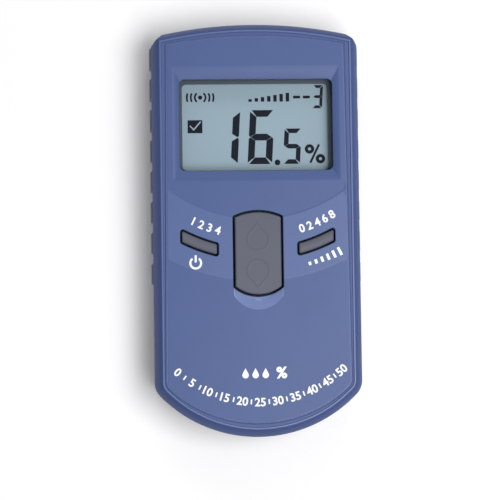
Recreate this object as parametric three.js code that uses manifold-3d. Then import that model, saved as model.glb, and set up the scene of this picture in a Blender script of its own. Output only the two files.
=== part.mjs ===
// Pinless moisture meter: a handheld case with a liquid crystal display, two keys and a rocker key,
// a sensing pad on its back and a 9 V battery behind a sliding door.
// Units are millimetres. The case lies on its back: +Z points out of the front face, +Y towards the
// display end, and Z = 0 is the plane of the sensing pad. The origin is the middle of the outline.
import * as THREE from "three";
import { mergeVertices } from "three/addons/utils/BufferGeometryUtils.js";
import Module from "manifold-3d";

const wasm = await Module();
wasm.setup();

// ---- Driving dimensions -------------------------------------------------------------------------

const GAP = 0.3; // kept between neighbours that are cut by each other

const CASE = {
  halfWidth: 36.35,
  halfLength: 72.5,
  topRadius: 155, // of the shallow arch at the display end
  bottomRadius: 48, // of the deep arch at the battery end
  bottomCorner: 7,
  topCorner: 0.6,
  wall: 2.4,
};
const CHAMFER = { x: 3.1, y: 3.4 }; // size of the corner cuts at the display end
const GRIP = { proud: 0.6, pitch: 10.9, notch: 2.8, count: 8, top: 68.4, low: 6.5, high: 15.6 };

// Heights above the plane of the sensing pad.
const Z = {
  door: 0.9,
  back: 1.2,
  padSeat: 2.4,
  doorTongue: 2.3,
  doorTop: 3.3,
  floor: 3.7,
  pcb: 14.8,
  split: 16,
  shoulder: 20.4,
  frontInner: 24.8,
  rim: 26.6,
  panel: 27,
  bead: 27.3,
  keyTop: 27.9,
};

const PANEL = { halfWidth: 31.75, halfLength: 67.3, topRadius: 170, bottomRadius: 49.5, corner: 3.5 };
const BEAD_WIDTH = 0.7; // of the raised line around the panel
const WINDOW = { halfWidth: 26.9, low: 20.3, high: 52.5, corner: 2 };
const BEZEL = { side: 2.4, low: 3.7, high: 4.6, depth: 1.1 };

// The two side keys are pieces of one ring, cut off by upright lines.
const KEY_RING = { centreY: 47.9, inner: 55, outer: 58.75, near: 14.2, far: 26.5, gap: 0.5 };
const ROCKER = { halfWidth: 8.15, top: 4, topRise: 1.8, bottom: -20.15, bottomRise: 2.9, gap: 0.6 };
const FOOT_GAP = 0.08; // between the rocker's feet and their switch stems
const PIVOT = { y: -8.6, z: 23.4, radius: 1, reach: 10.7 };

const PCB = { thick: 1.6, halfWidth: 30, low: -17.7, high: 56.7 };
// The rear glass carries the contacts, so it stands out past the front glass by the ledge.
const LCD = { halfWidth: 28, low: 18.4, high: 54.4, rear: 18.3, glass: 1, ledge: 1.6, frameWall: 1.5 };
const VIEW = { halfWidth: 25.7, low: 20.9, high: 51.4, corner: 1.6 }; // the frame's opening
const SWITCH = { size: 6, height: 3.4, stemRadius: 1.7, stemLow: 18.9, stemTop: 22.4 };
const SWITCHES = {
  mode: [-20.3, -4.9],
  density: [20.3, -4.9],
  up: [0, 0.8],
  down: [0, -18],
};

const BATTERY = { length: 45, width: 26.5, thick: 17.5, x: -26.2, y: -45.95, z: 3.9 };
const TERMINAL_PITCH = 12.9;
const DOOR = { halfWidth: 27.5, tongue: 1, top: -28.5, endInset: 1.6 };
const BAY = { halfWidth: 26.8, low: -60.5, high: -31 };
const PAD = { halfWidth: 24, low: 8, high: 60, corner: 5 };

// Screws come in from the back. Each has a head, a shank and a tapped hole in the front cover.
const CASE_SCREW = { head: 1.6, headRadius: 2.6, headHeight: 2.05, shank: 1.45, hole: 1.75, seat: 3 };
const PCB_SCREW = { head: 13.3, headRadius: 2, headHeight: 1.45, shank: 0.9, hole: 1.2 };
const SCREW_TOP = 22;
const CASE_SCREWS = [
  [-28.5, 62.5],
  [28.5, 62.5],
  [-29.5, -23],
  [29.5, -23],
];
const PCB_SCREWS = [
  [-20.5, 59.2],
  [20.5, 59.2],
  [-27, -14.2],
  [27, -14.2],
];

// ---- Solids --------------------------------------------------------------------------------------

function solid(geometry) {
  const flat = geometry.index ? geometry.toNonIndexed() : geometry;
  const bare = new THREE.BufferGeometry().setAttribute("position", flat.getAttribute("position"));
  const merged = mergeVertices(bare, 1e-4);
  return new wasm.Manifold(
    new wasm.Mesh({
      numProp: 3,
      vertProperties: merged.attributes.position.array,
      triVerts: new Uint32Array(merged.index.array),
    }),
  );
}

function geometryOf(made) {
  const mesh = made.getMesh();
  const positions = new THREE.BufferAttribute(new Float32Array(mesh.vertProperties), 3);
  const geometry = new THREE.BufferGeometry().setAttribute("position", positions);
  geometry.setIndex(new THREE.BufferAttribute(mesh.triVerts, 1));
  geometry.computeVertexNormals();
  return geometry;
}

const join = (first, ...rest) => rest.reduce((a, b) => a.add(b), first);
const cut = (first, ...rest) => rest.reduce((a, b) => a.subtract(b), first);

// An outline pulled straight up from one height to another.
function prism(points, low, high) {
  const shape = new THREE.Shape(points);
  const geometry = new THREE.ExtrudeGeometry(shape, { depth: high - low, bevelEnabled: false });
  return solid(geometry.translate(0, 0, low));
}

// A closed skin through outlines that hold the same number of points: [[height, points], ...].
function loft(levels) {
  const count = levels[0][1].length;
  const positions = levels.flatMap(([z, points]) => points.flatMap((p) => [p.x, p.y, z]));
  const faces = [];
  for (let level = 0; level + 1 < levels.length; level++) {
    for (let i = 0; i < count; i++) {
      const a = level * count + i;
      const b = level * count + ((i + 1) % count);
      faces.push(a, b, b + count, a, b + count, a + count);
    }
  }
  const last = (levels.length - 1) * count;
  for (const [a, b, c] of THREE.ShapeUtils.triangulateShape(levels[0][1], [])) {
    faces.push(a, c, b);
  }
  for (const [a, b, c] of THREE.ShapeUtils.triangulateShape(levels.at(-1)[1], [])) {
    faces.push(last + a, last + b, last + c);
  }
  const geometry = new THREE.BufferGeometry();
  geometry.setAttribute("position", new THREE.Float32BufferAttribute(positions, 3));
  geometry.setIndex(faces);
  return solid(geometry);
}

function box(x0, x1, y0, y1, z0, z1) {
  const geometry = new THREE.BoxGeometry(x1 - x0, y1 - y0, z1 - z0);
  return solid(geometry.translate((x0 + x1) / 2, (y0 + y1) / 2, (z0 + z1) / 2));
}

function cylinder(x, y, radius, low, high, sides = 16) {
  const geometry = new THREE.CylinderGeometry(radius, radius, high - low, sides);
  return solid(geometry.rotateX(Math.PI / 2).translate(x, y, (low + high) / 2));
}

// A cylinder that lies along X.
function rod(x0, x1, y, z, radius, sides = 16) {
  const geometry = new THREE.CylinderGeometry(radius, radius, x1 - x0, sides);
  return solid(geometry.rotateZ(Math.PI / 2).translate((x0 + x1) / 2, y, z));
}

// A wire along a curve.
function wire(curve, radius, steps, sides) {
  const section = new THREE.Shape(arc(0, 0, radius, 0, 2 * Math.PI, sides));
  return solid(new THREE.ExtrudeGeometry(section, { extrudePath: curve, steps, bevelEnabled: false }));
}

// ---- Outlines ------------------------------------------------------------------------------------

// Points on an arc, without the last one.
function arc(cx, cy, radius, from, to, count) {
  return Array.from({ length: count }, (_, i) => {
    const angle = from + ((to - from) * i) / count;
    return new THREE.Vector2(cx + radius * Math.cos(angle), cy + radius * Math.sin(angle));
  });
}

function roundRect(x0, x1, y0, y1, radius, steps = 4) {
  const quarter = Math.PI / 2;
  return [
    ...arc(x1 - radius, y1 - radius, radius, 0, quarter, steps),
    new THREE.Vector2(x1 - radius, y1),
    ...arc(x0 + radius, y1 - radius, radius, quarter, 2 * quarter, steps),
    new THREE.Vector2(x0, y1 - radius),
    ...arc(x0 + radius, y0 + radius, radius, 2 * quarter, 3 * quarter, steps),
    new THREE.Vector2(x0 + radius, y0),
    ...arc(x1 - radius, y0 + radius, radius, 3 * quarter, 4 * quarter, steps),
    new THREE.Vector2(x1, y0 + radius),
  ];
}

// A tall outline with straight sides, an arched top and an arched bottom, and rounded corners.
function arched({ halfWidth, top, topRadius, topCorner, bottom, bottomRadius, bottomCorner }) {
  const topCentre = top - topRadius;
  const bottomCentre = bottom + bottomRadius;
  const topX = halfWidth - topCorner;
  const bottomX = halfWidth - bottomCorner;
  const topY = topCentre + Math.sqrt((topRadius - topCorner) ** 2 - topX ** 2);
  const bottomY = bottomCentre - Math.sqrt((bottomRadius - bottomCorner) ** 2 - bottomX ** 2);
  const topAngle = Math.atan2(topY - topCentre, topX);
  const bottomAngle = Math.atan2(bottomY - bottomCentre, bottomX);
  return [
    ...arc(topX, topY, topCorner, 0, topAngle, 2),
    ...arc(0, topCentre, topRadius, topAngle, Math.PI - topAngle, 12),
    ...arc(-topX, topY, topCorner, Math.PI - topAngle, Math.PI, 2),
    new THREE.Vector2(-halfWidth, topY),
    ...arc(-bottomX, bottomY, bottomCorner, Math.PI, Math.PI - bottomAngle, 5),
    ...arc(0, bottomCentre, bottomRadius, Math.PI - bottomAngle, 2 * Math.PI + bottomAngle, 20),
    ...arc(bottomX, bottomY, bottomCorner, bottomAngle, 0, 5),
    new THREE.Vector2(halfWidth, bottomY),
  ];
}

const caseOutline = (inset) =>
  arched({
    halfWidth: CASE.halfWidth - inset,
    top: CASE.halfLength - inset,
    topRadius: CASE.topRadius - inset,
    topCorner: CASE.topCorner,
    bottom: inset - CASE.halfLength,
    bottomRadius: CASE.bottomRadius - inset,
    bottomCorner: CASE.bottomCorner - inset,
  });

const panelOutline = (inset) =>
  arched({
    halfWidth: PANEL.halfWidth - inset,
    top: PANEL.halfLength - inset,
    topRadius: PANEL.topRadius - inset,
    topCorner: 0.6,
    bottom: inset - PANEL.halfLength,
    bottomRadius: PANEL.bottomRadius - inset,
    bottomCorner: PANEL.corner - inset,
  });

// One side key: side is -1 for the left one and 1 for the right one.
function sideKeyOutline(side, grow) {
  const { centreY, near, far } = KEY_RING;
  const inner = KEY_RING.inner - grow;
  const outer = KEY_RING.outer + grow;
  const angleAt = (radius, x) => -Math.acos(x / radius);
  const curve = (radius, from, to) =>
    arc(0, centreY, radius, angleAt(radius, from), angleAt(radius, to), 6).concat(
      new THREE.Vector2(to, centreY - Math.sqrt(radius ** 2 - to ** 2)),
    );
  const points = [...curve(outer, near - grow, far + grow), ...curve(inner, far + grow, near - grow)];
  return side > 0 ? points : points.map((p) => new THREE.Vector2(-p.x, p.y)).reverse();
}

function rockerOutline(grow) {
  const halfWidth = ROCKER.halfWidth + grow;
  const cap = (cornerY, rise, sign) => {
    const radius = (halfWidth ** 2 + rise ** 2) / (2 * rise);
    const half = Math.asin(halfWidth / radius);
    const centre = cornerY + sign * (rise - radius);
    const middle = (sign * Math.PI) / 2;
    return arc(0, centre, radius, middle - half, middle + half, 10).concat(
      new THREE.Vector2(-sign * halfWidth, cornerY),
    );
  };
  return [
    ...cap(ROCKER.top + grow, ROCKER.topRise, 1),
    ...cap(ROCKER.bottom - grow, ROCKER.bottomRise, -1),
  ];
}

// The two blocks outside the corner cuts at the display end, moved inwards by an inset.
function cornerBlocks(inset) {
  const corner = CASE.halfWidth;
  const rise = CASE.topRadius - Math.sqrt(CASE.topRadius ** 2 - corner ** 2);
  const cornerY = CASE.halfLength - rise;
  const slope = new THREE.Vector2(CHAMFER.y, CHAMFER.x).normalize();
  const along = new THREE.Vector2(-slope.y, slope.x);
  const start = new THREE.Vector2(corner, cornerY - CHAMFER.y).addScaledVector(slope, -inset);
  const reach = 12;
  const block = [
    start.clone().addScaledVector(along, -reach),
    start.clone().addScaledVector(along, -reach).addScaledVector(slope, reach),
    start.clone().addScaledVector(along, reach).addScaledVector(slope, reach),
    start.clone().addScaledVector(along, reach),
  ];
  const mirrored = block.map((p) => new THREE.Vector2(-p.x, p.y)).reverse();
  return [prism(block, -1, 30), prism(mirrored, -1, 30)];
}

// ---- Case ----------------------------------------------------------------------------------------

function frontCover() {
  const chamferInset = 3.2;
  const skin = cut(
    loft([
      [Z.split, caseOutline(0.15)],
      [Z.shoulder, caseOutline(0)],
      [Z.rim - 0.2, caseOutline(chamferInset)],
      [Z.rim, caseOutline(chamferInset + 0.5)],
    ]),
    ...cornerBlocks(0),
  );
  const panel = cut(
    prism(panelOutline(0), Z.rim - 1, Z.bead),
    prism(panelOutline(BEAD_WIDTH), Z.panel, Z.bead + 1),
  );
  const cavity = cut(
    loft([
      [Z.split - 0.1, caseOutline(CASE.wall)],
      [Z.shoulder - 0.4, caseOutline(CASE.wall)],
      [Z.frontInner, caseOutline(5.3)],
    ]),
    ...cornerBlocks(CASE.wall),
  );
  const holeEnd = Z.frontInner - 1.4;
  const { halfWidth, low, high, corner } = WINDOW;
  const aperture = roundRect(-halfWidth, halfWidth, low, high, corner);
  const bezelX = halfWidth + BEZEL.side;
  const bezel = roundRect(-bezelX, bezelX, low - BEZEL.low, high + BEZEL.high, corner + 1);
  return cut(
    join(cut(join(skin, panel), cavity), locatingLip(), ...frontBosses(), ...rockerSaddles()),
    loft([
      [Z.panel - BEZEL.depth, aperture],
      [Z.panel + 0.01, bezel],
    ]),
    prism(aperture, Z.frontInner - 1, Z.bead + 1),
    prism(sideKeyOutline(-1, KEY_RING.gap), Z.frontInner - 1, Z.bead + 1),
    prism(sideKeyOutline(1, KEY_RING.gap), Z.frontInner - 1, Z.bead + 1),
    prism(rockerOutline(ROCKER.gap), Z.frontInner - 1, Z.bead + 1),
    ...CASE_SCREWS.map(([x, y]) => cylinder(x, y, CASE_SCREW.hole, Z.split - 1, holeEnd)),
    ...PCB_SCREWS.map(([x, y]) => cylinder(x, y, PCB_SCREW.hole, Z.pcb, holeEnd)),
  );
}

// The tongue inside the joint that lines the two covers up.
function locatingLip() {
  const outside = cut(prism(caseOutline(1.5), Z.split - 1.4, Z.split + 0.6), ...cornerBlocks(1.5));
  return cut(
    outside,
    cut(prism(caseOutline(CASE.wall), Z.split - 2, Z.split + 1), ...cornerBlocks(CASE.wall)),
  );
}

function frontBosses() {
  const root = Z.frontInner + 0.5;
  return [
    ...CASE_SCREWS.map(([x, y]) => cylinder(x, y, 3.2, Z.split + 0.1, root)),
    ...PCB_SCREWS.map(([x, y]) => cylinder(x, y, 2.4, Z.pcb + PCB.thick, root, 12)),
  ];
}

// Two ribs with a slot each, in which the rocker's trunnions turn.
function rockerSaddles() {
  const slot = PIVOT.radius + 0.2;
  const bottom = PIVOT.z - 1.6;
  return [-1, 1].map((side) => {
    const x0 = side > 0 ? 9.2 : -10.5;
    return cut(
      box(x0, x0 + 1.3, PIVOT.y - 2.8, PIVOT.y + 2.8, bottom, Z.frontInner + 0.5),
      rod(x0 - 1, x0 + 3, PIVOT.y, PIVOT.z, slot),
      box(x0 - 1, x0 + 3, PIVOT.y - slot, PIVOT.y + slot, bottom - 1, PIVOT.z),
    );
  });
}

function rearCover() {
  const skin = cut(
    loft([
      [Z.back, caseOutline(4)],
      [2, caseOutline(2.3)],
      [3.6, caseOutline(1)],
      [6, caseOutline(0.3)],
      [Z.split, caseOutline(0.15)],
    ]),
    ...cornerBlocks(0),
  );
  const cavity = cut(
    loft([
      [Z.floor, caseOutline(4.6)],
      [6, caseOutline(2.7)],
      [Z.split + 0.1, caseOutline(CASE.wall)],
    ]),
    ...cornerBlocks(CASE.wall),
  );
  const rebate = cut(prism(caseOutline(1.2), Z.split - 1.7, Z.split + 1), ...cornerBlocks(1.2));
  const inside = cut(prism(caseOutline(1.5), Z.floor - 1, Z.split - 2), ...cornerBlocks(1.5));
  const fittings = join(bayFrame(), ...rearBosses()).intersect(inside);
  const pocketEnd = -CASE.halfLength - 1;
  const tongueX = DOOR.halfWidth + DOOR.tongue + GAP;
  return cut(
    join(
      cut(skin, cavity, rebate),
      cut(join(...grips()), ...cornerBlocks(-GRIP.proud)),
      fittings,
      ...restRibs(),
    ),
    prism(roundRect(-PAD.halfWidth, PAD.halfWidth, PAD.low, PAD.high, PAD.corner), 0, Z.padSeat),
    box(-DOOR.halfWidth - GAP, DOOR.halfWidth + GAP, pocketEnd, DOOR.top + GAP, 0, Z.doorTop),
    box(-tongueX, tongueX, pocketEnd, DOOR.top + GAP, Z.doorTongue, Z.doorTop),
    prism(roundRect(-BAY.halfWidth, BAY.halfWidth, BAY.low, BAY.high, 1), 0, Z.split),
    ...CASE_SCREWS.flatMap(([x, y]) => [
      cylinder(x, y, CASE_SCREW.hole, 0, Z.split),
      cylinder(x, y, CASE_SCREW.seat, 0, Z.floor),
    ]),
  );
}

// A thicker floor around the battery opening, and the wall between the battery and the board.
function bayFrame() {
  const leadNotch = box(19, 26, BAY.high, BAY.high + 3, 12.2, Z.split);
  return join(
    box(-30.5, 30.5, -70, BAY.high + 3, Z.floor - 0.5, Z.doorTop + 1.5),
    cut(box(-31.5, 31.5, BAY.high + 0.3, BAY.high + 1.7, Z.floor, Z.split - 2.2), leadNotch),
    box(-BAY.halfWidth - 1.6, -BAY.halfWidth - 0.4, BAY.low, BAY.high + 1, Z.floor, 14),
  );
}

function rearBosses() {
  return CASE_SCREWS.map(([x, y]) => cylinder(x, y, 4.2, Z.back + 0.6, Z.split - 2));
}

// Rounded finger ribs down both sides of the rear cover.
function grips() {
  const reach = CASE.halfWidth - 1;
  const face = CASE.halfWidth + GRIP.proud;
  return Array.from({ length: GRIP.count }, (_, i) => GRIP.top - GRIP.pitch * i - GRIP.notch).flatMap(
    (top) => {
      const bottom = top - GRIP.pitch + GRIP.notch;
      const section = (inset) => [
        new THREE.Vector2(reach, bottom),
        new THREE.Vector2(face - inset, bottom + 0.5),
        new THREE.Vector2(face - inset, top - 1),
        new THREE.Vector2(reach, top + 0.4),
      ];
      const rib = loft([
        [GRIP.low, section(0.8)],
        [GRIP.low + 1.2, section(0)],
        [GRIP.high - 0.4, section(0)],
        [GRIP.high, section(0.4)],
      ]);
      return [rib, rib.mirror([1, 0, 0])];
    },
  );
}

// Low ribs beside the door that carry the battery end when the meter lies on its back.
function restRibs() {
  const rib = loft([
    [0, roundRect(29.9, 31.3, -51.6, -38.4, 0.6, 3)],
    [Z.back + 0.3, roundRect(29.6, 31.6, -52, -38, 0.8, 3)],
  ]);
  return [rib, rib.mirror([1, 0, 0])];
}

function batteryDoor() {
  const outer = DOOR.halfWidth;
  const tongue = DOOR.halfWidth + DOOR.tongue;
  const end = -CASE.halfLength;
  const plate = join(
    box(-outer, outer, end, DOOR.top, Z.door, Z.doorTop - 0.2),
    box(-tongue, tongue, end, DOOR.top, Z.doorTongue + 0.15, Z.doorTop - 0.2),
  );
  const shaped = plate.intersect(
    loft([
      [Z.door, caseOutline(DOOR.endInset + 1.6)],
      [Z.doorTop, caseOutline(DOOR.endInset)],
    ]),
  );
  const ridges = Array.from({ length: 5 }, (_, i) =>
    prism(roundRect(-10, 10, -38.2 - 2.6 * i, -36.9 - 2.6 * i, 0.6, 3), Z.door - 0.45, Z.door + 0.3),
  );
  return join(shaped, ...ridges);
}

// ---- Display -------------------------------------------------------------------------------------

function displayWindow() {
  const lap = 1.7;
  const { halfWidth, low, high, corner } = WINDOW;
  const edge = roundRect(-halfWidth - lap, halfWidth + lap, low - lap, high + lap, corner, 3);
  return prism(edge, Z.frontInner - 1.25, Z.frontInner - 0.05);
}

// A frame on the board that holds the glass down by its edge.
function lcdFrame() {
  const base = Z.pcb + PCB.thick;
  const glassTop = LCD.rear + 2 * LCD.glass + 0.05;
  const opening = roundRect(-VIEW.halfWidth, VIEW.halfWidth, VIEW.low, VIEW.high, VIEW.corner);
  const around = (margin, corner) =>
    roundRect(
      -LCD.halfWidth - margin,
      LCD.halfWidth + margin,
      LCD.low - margin,
      LCD.high + margin,
      corner,
      2,
    );
  return cut(
    prism(around(LCD.frameWall, 1), base, glassTop + 0.5),
    prism(around(GAP / 2, 0.4), LCD.rear - 0.05, glassTop),
    prism(around(-0.4, 0.4), base - 1, LCD.rear),
    prism(opening, base, glassTop + 1),
  );
}

function lcdGlass(low, margin) {
  const { halfWidth } = LCD;
  const edge = roundRect(-halfWidth, halfWidth, LCD.low + margin, LCD.high - margin, 0.3, 2);
  return prism(edge, low, low + LCD.glass);
}

// The elastic contact strip between the glass and the board.
const zebraStrip = (y) => box(-26, 26, y - 1, y + 1, Z.pcb + PCB.thick, LCD.rear);

// ---- Keys ----------------------------------------------------------------------------------------

function sideKey(side) {
  const [x, y] = side < 0 ? SWITCHES.mode : SWITCHES.density;
  const flangeLow = 23.4;
  return join(
    loft([
      [flangeLow + 0.5, sideKeyOutline(side, 0)],
      [Z.keyTop - 0.5, sideKeyOutline(side, 0)],
      [Z.keyTop, sideKeyOutline(side, -0.45)],
    ]),
    prism(sideKeyOutline(side, 1.2), flangeLow, flangeLow + 1.2),
    cylinder(x, y, 2.2, SWITCH.stemTop, flangeLow + 0.3),
  );
}

function rockerKey() {
  const bottom = PIVOT.z - 0.8;
  const roof = 25.8;
  const cap = loft([
    [bottom, rockerOutline(0)],
    [Z.keyTop - 0.4, rockerOutline(0)],
    [Z.keyTop + 0.1, rockerOutline(-0.5)],
  ]);
  const foot = ([x, y]) => cylinder(x, y, 1.8, SWITCH.stemTop + FOOT_GAP, roof + 0.5);
  return join(
    cut(cap, prism(rockerOutline(-1.5), bottom - 1, roof)),
    foot(SWITCHES.up),
    foot(SWITCHES.down),
    rod(-PIVOT.reach, 1 - ROCKER.halfWidth, PIVOT.y, PIVOT.z, PIVOT.radius),
    rod(ROCKER.halfWidth - 1, PIVOT.reach, PIVOT.y, PIVOT.z, PIVOT.radius),
  );
}

function switchBody([x, y]) {
  const base = Z.pcb + PCB.thick;
  const half = SWITCH.size / 2;
  return cut(
    prism(roundRect(x - half, x + half, y - half, y + half, 0.5, 2), base, base + SWITCH.height),
    cylinder(x, y, SWITCH.stemRadius + GAP, SWITCH.stemLow - 0.5, base + SWITCH.height + 1),
  );
}

const switchStem = ([x, y]) => cylinder(x, y, SWITCH.stemRadius, SWITCH.stemLow, SWITCH.stemTop);

// ---- Circuit board -------------------------------------------------------------------------------

function mainPcb() {
  const { halfWidth, low, high } = PCB;
  const neck = 23.5;
  const tail = 24.4;
  const outline = [
    [halfWidth, low],
    [halfWidth, high],
    [neck, high],
    [neck, high + 5.5],
    [-neck, high + 5.5],
    [-neck, high],
    [-halfWidth, high],
    [-halfWidth, low],
    [-tail, low],
    [-tail, low - 9],
    [tail, low - 9],
    [tail, low],
  ].map(([x, y]) => new THREE.Vector2(x, y));
  return cut(
    prism(outline, Z.pcb, Z.pcb + PCB.thick),
    ...PCB_SCREWS.map(([x, y]) => cylinder(x, y, 1.4, Z.pcb - 1, Z.pcb + PCB.thick + 1, 16)),
  );
}

// A component that hangs under the board.
function underBoard(x, y, sizeX, sizeY, height) {
  const edge = roundRect(x - sizeX / 2, x + sizeX / 2, y - sizeY / 2, y + sizeY / 2, 0.3, 2);
  return prism(edge, Z.pcb - height, Z.pcb);
}

const crystal = (x, y) => join(underBoard(x, y, 10.5, 3.8, 3.4), underBoard(x, y, 11.4, 4.8, 0.6));

const supplyCapacitor = (x, y) =>
  join(cylinder(x, y, 2.5, Z.pcb - 7, Z.pcb), cylinder(x, y, 2.7, Z.pcb - 1, Z.pcb));

// A bobbin with its winding.
function oscillatorInductor(x, y) {
  const flange = 4.2;
  const winding = 3;
  const low = Z.pcb - 6;
  const profile = [
    [0, low],
    [flange, low],
    [flange, low + 1],
    [winding, low + 1.2],
    [winding, Z.pcb - 1.2],
    [flange, Z.pcb - 1],
    [flange, Z.pcb],
    [0, Z.pcb],
  ].map(([radius, z]) => new THREE.Vector2(radius, z));
  return solid(new THREE.LatheGeometry(profile, 16).rotateX(Math.PI / 2).translate(x, y, 0));
}

// ---- Sensing pad and electrodes ------------------------------------------------------------------

function sensorPad() {
  const edge = (inset) =>
    roundRect(
      inset - PAD.halfWidth,
      PAD.halfWidth - inset,
      PAD.low + inset,
      PAD.high - inset,
      PAD.corner - inset,
      5,
    );
  return loft([
    [0, edge(0.9)],
    [0.5, edge(0.4)],
    [Z.padSeat - 0.05, edge(0.3)],
  ]);
}

const ELECTRODE = { y: 34, low: Z.floor + 0.05, thick: 0.4 };

function electrodePlate(halfX, halfY, low, high) {
  return prism(roundRect(-halfX, halfX, ELECTRODE.y - halfY, ELECTRODE.y + halfY, 3), low, high);
}

const innerElectrode = () => electrodePlate(8, 10, ELECTRODE.low, ELECTRODE.low + ELECTRODE.thick);

const outerElectrode = () =>
  cut(
    electrodePlate(21, 22, ELECTRODE.low, ELECTRODE.low + ELECTRODE.thick),
    electrodePlate(12, 14, ELECTRODE.low - 1, ELECTRODE.low + 1),
  );

class Helix extends THREE.Curve {
  constructor(x, y, radius, low, high, turns) {
    super();
    Object.assign(this, { x, y, radius, low, high, turns });
  }
  getPoint(t) {
    const angle = 2 * Math.PI * this.turns * t;
    return new THREE.Vector3(
      this.x + this.radius * Math.cos(angle),
      this.y + this.radius * Math.sin(angle),
      this.low + (this.high - this.low) * t,
    );
  }
}

// A compression spring that joins an electrode to the board.
function contactSpring(x) {
  const wireRadius = 0.3;
  const low = ELECTRODE.low + ELECTRODE.thick + wireRadius + 0.15;
  return wire(new Helix(x, ELECTRODE.y, 2, low, Z.pcb - wireRadius - 0.15, 5), wireRadius, 50, 5);
}

// ---- Battery -------------------------------------------------------------------------------------

const BATTERY_END = BATTERY.x + BATTERY.length;
const BATTERY_MID_Z = BATTERY.z + BATTERY.thick / 2;
const TERMINAL_Y = { positive: BATTERY.y + TERMINAL_PITCH / 2, negative: BATTERY.y - TERMINAL_PITCH / 2 };

function batteryBody() {
  const { x, y, width, thick, length } = BATTERY;
  const section = new THREE.Shape(roundRect(-thick / 2, thick / 2, -width / 2, width / 2, 1.5));
  const geometry = new THREE.ExtrudeGeometry(section, { depth: length, bevelEnabled: false });
  return solid(geometry.rotateY(Math.PI / 2).translate(x, y, BATTERY_MID_Z));
}

// Foam between the battery and the front cover.
function foamPad() {
  const low = BATTERY.z + BATTERY.thick + 0.05;
  return box(-14, 8, BATTERY.y - 7, BATTERY.y + 7, low, Z.frontInner - 0.05);
}

const stud = (y, radius, from, to) => rod(from, to, y, BATTERY_MID_Z, radius);

// On the battery: a stud and a cup. On the snap connector: the cup and the stud that fit them.
const TERMINAL_HEIGHT = 3;
const SNAP_FACE = BATTERY_END + 3.6;

const positiveTerminal = () => stud(TERMINAL_Y.positive, 2.8, BATTERY_END, BATTERY_END + TERMINAL_HEIGHT);

const negativeTerminal = () =>
  cut(
    stud(TERMINAL_Y.negative, 4.2, BATTERY_END, BATTERY_END + TERMINAL_HEIGHT),
    stud(TERMINAL_Y.negative, 3.4, BATTERY_END + 0.5, SNAP_FACE),
  );

const positiveSnap = () =>
  cut(
    stud(TERMINAL_Y.positive, 4, BATTERY_END + 0.6, SNAP_FACE),
    stud(TERMINAL_Y.positive, 3.1, BATTERY_END, BATTERY_END + TERMINAL_HEIGHT + 0.1),
  );

const negativeSnap = () => stud(TERMINAL_Y.negative, 2.6, BATTERY_END + 0.9, SNAP_FACE);

function snapConnector() {
  const section = new THREE.Shape(roundRect(-6, 6, -12.5, 12.5, 3));
  const geometry = new THREE.ExtrudeGeometry(section, { depth: 2.6, bevelEnabled: false });
  return solid(geometry.rotateY(Math.PI / 2).translate(SNAP_FACE, BATTERY.y, BATTERY_MID_Z));
}

// A lead from the snap connector over the battery wall to its solder pad on the board.
function lead(offset) {
  const points = [
    [BATTERY_END + 4.9, -33.3, 13.9],
    [BATTERY_END + 4.7, -31, 14],
    [23.2, -28, 13.5],
    [22.2, -25.2, 12.9],
    [21.2, -22.4, 13.6],
    [21, -21.8, Z.pcb - 1.2],
    [21, -21.8, Z.pcb - 0.1],
  ].map(([x, y, z]) => new THREE.Vector3(x + offset, y, z));
  return wire(new THREE.CatmullRomCurve3(points), 0.7, 20, 6);
}

// ---- Screws --------------------------------------------------------------------------------------

// A pan head with a cross recess, and a shank that points up from it.
function screw([x, y], { head, headRadius, headHeight, shank }) {
  const profile = [
    [0, head],
    [headRadius * 0.75, head],
    [headRadius, head + headHeight * 0.45],
    [headRadius, head + headHeight],
    [shank, head + headHeight],
    [shank, SCREW_TOP - 1],
    [0.4, SCREW_TOP],
    [0, SCREW_TOP],
  ].map(([r, z]) => new THREE.Vector2(r, z));
  const turned = new THREE.LatheGeometry(profile, 12);
  const body = solid(turned.rotateX(Math.PI / 2).translate(x, y, 0));
  const slot = headRadius * 0.55;
  const half = 0.25;
  const depth = head + headHeight * 0.5;
  return cut(
    body,
    box(x - slot, x + slot, y - half, y + half, head - 1, depth),
    box(x - half, x + half, y - slot, y + slot, head - 1, depth),
  );
}

// ---- Assembly ------------------------------------------------------------------------------------

const plastic = (color, roughness) => new THREE.MeshStandardMaterial({ color, roughness, metalness: 0 });
const metal = (color, roughness) => new THREE.MeshStandardMaterial({ color, roughness, metalness: 1 });

const MATERIALS = {
  shell: plastic(0x5a6ba3, 0.45),
  key: plastic(0x5e6066, 0.55),
  pad: plastic(0x2a2c31, 0.6),
  clear: new THREE.MeshStandardMaterial({
    color: 0xf0f6f6,
    roughness: 0.05,
    transparent: true,
    opacity: 0.2,
  }),
  lcd: plastic(0x9fb0b6, 0.4),
  frame: plastic(0x3a4248, 0.6),
  zebra: plastic(0x2b2b2b, 0.8),
  board: plastic(0x1f5a34, 0.5),
  chip: plastic(0x17181a, 0.4),
  foam: plastic(0x33353a, 0.95),
  jacket: plastic(0x20262e, 0.3),
  red: plastic(0xa8231e, 0.45),
  black: plastic(0x151515, 0.45),
  steel: metal(0xb9bcc0, 0.3),
  copper: metal(0xc07a45, 0.35),
};

const meter = new THREE.Group();

// A named group of the assembly, and the way to put pieces in it.
function subassembly(name) {
  const group = new THREE.Group();
  group.name = name;
  meter.add(group);
  return (piece, made, material) => {
    const mesh = new THREE.Mesh(geometryOf(made), MATERIALS[material]);
    mesh.name = piece;
    group.add(mesh);
  };
}

const addToCase = subassembly("case");
addToCase("front_cover", frontCover(), "shell");
addToCase("rear_cover", rearCover(), "shell");
addToCase("battery_door", batteryDoor(), "shell");
CASE_SCREWS.forEach((at, i) => addToCase(`case_screw_${i + 1}`, screw(at, CASE_SCREW), "steel"));

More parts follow.
